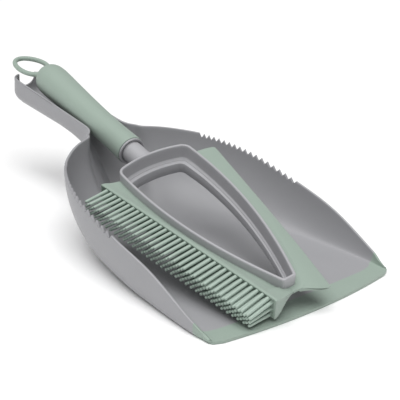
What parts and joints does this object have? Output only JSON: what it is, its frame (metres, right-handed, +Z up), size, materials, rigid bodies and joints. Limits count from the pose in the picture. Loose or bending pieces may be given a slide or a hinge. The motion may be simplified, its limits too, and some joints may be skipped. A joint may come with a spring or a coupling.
{
  "type": "dust pan and brush set",
  "caption": "Scoop dust pan with comb teeth and a soft lip, holding a rubber brush with an open frame, soft fingers on one side and a squeegee blade on the other.",
  "frame": {"origin": "middle of the straight line between the two lip corners, on the floor plane", "axes": "+Z up, +Y from the lip towards the handle, +X to the right of a person looking from the lip to the handle"},
  "size_m": [0.2212, 0.4214, 0.1166],
  "materials": {
    "pan_plastic": "satin grey moulded plastic with a fine texture",
    "brush_plastic": "satin light grey moulded plastic",
    "soft_rubber": "soft sage green rubber, matte",
    "finger_rubber": "pale sage green rubber, matte"
  },
  "bodies": {
    "dustpan": {"pan_shell": "pan_plastic", "pan_handle": "pan_plastic", "pan_lip": "soft_rubber"},
    "brush": {"head_frame": "brush_plastic", "handle_core": "brush_plastic", "collar_ring": "brush_plastic", "grip": "soft_rubber", "hang_loop": "soft_rubber", "finger_carrier": "soft_rubber", "finger_row_1": "finger_rubber", "finger_row_2": "finger_rubber", "finger_row_3": "finger_rubber", "finger_row_4": "finger_rubber", "finger_row_5": "finger_rubber", "finger_row_6": "finger_rubber", "blade_carrier": "soft_rubber", "squeegee_blade": "soft_rubber"}
  },
  "joints": [
    {"name": "brush_lift", "type": "slide", "parent": "dustpan", "child": "brush", "axis": [0, 0, 1], "range_m": [0, 0.15]}
  ]
}
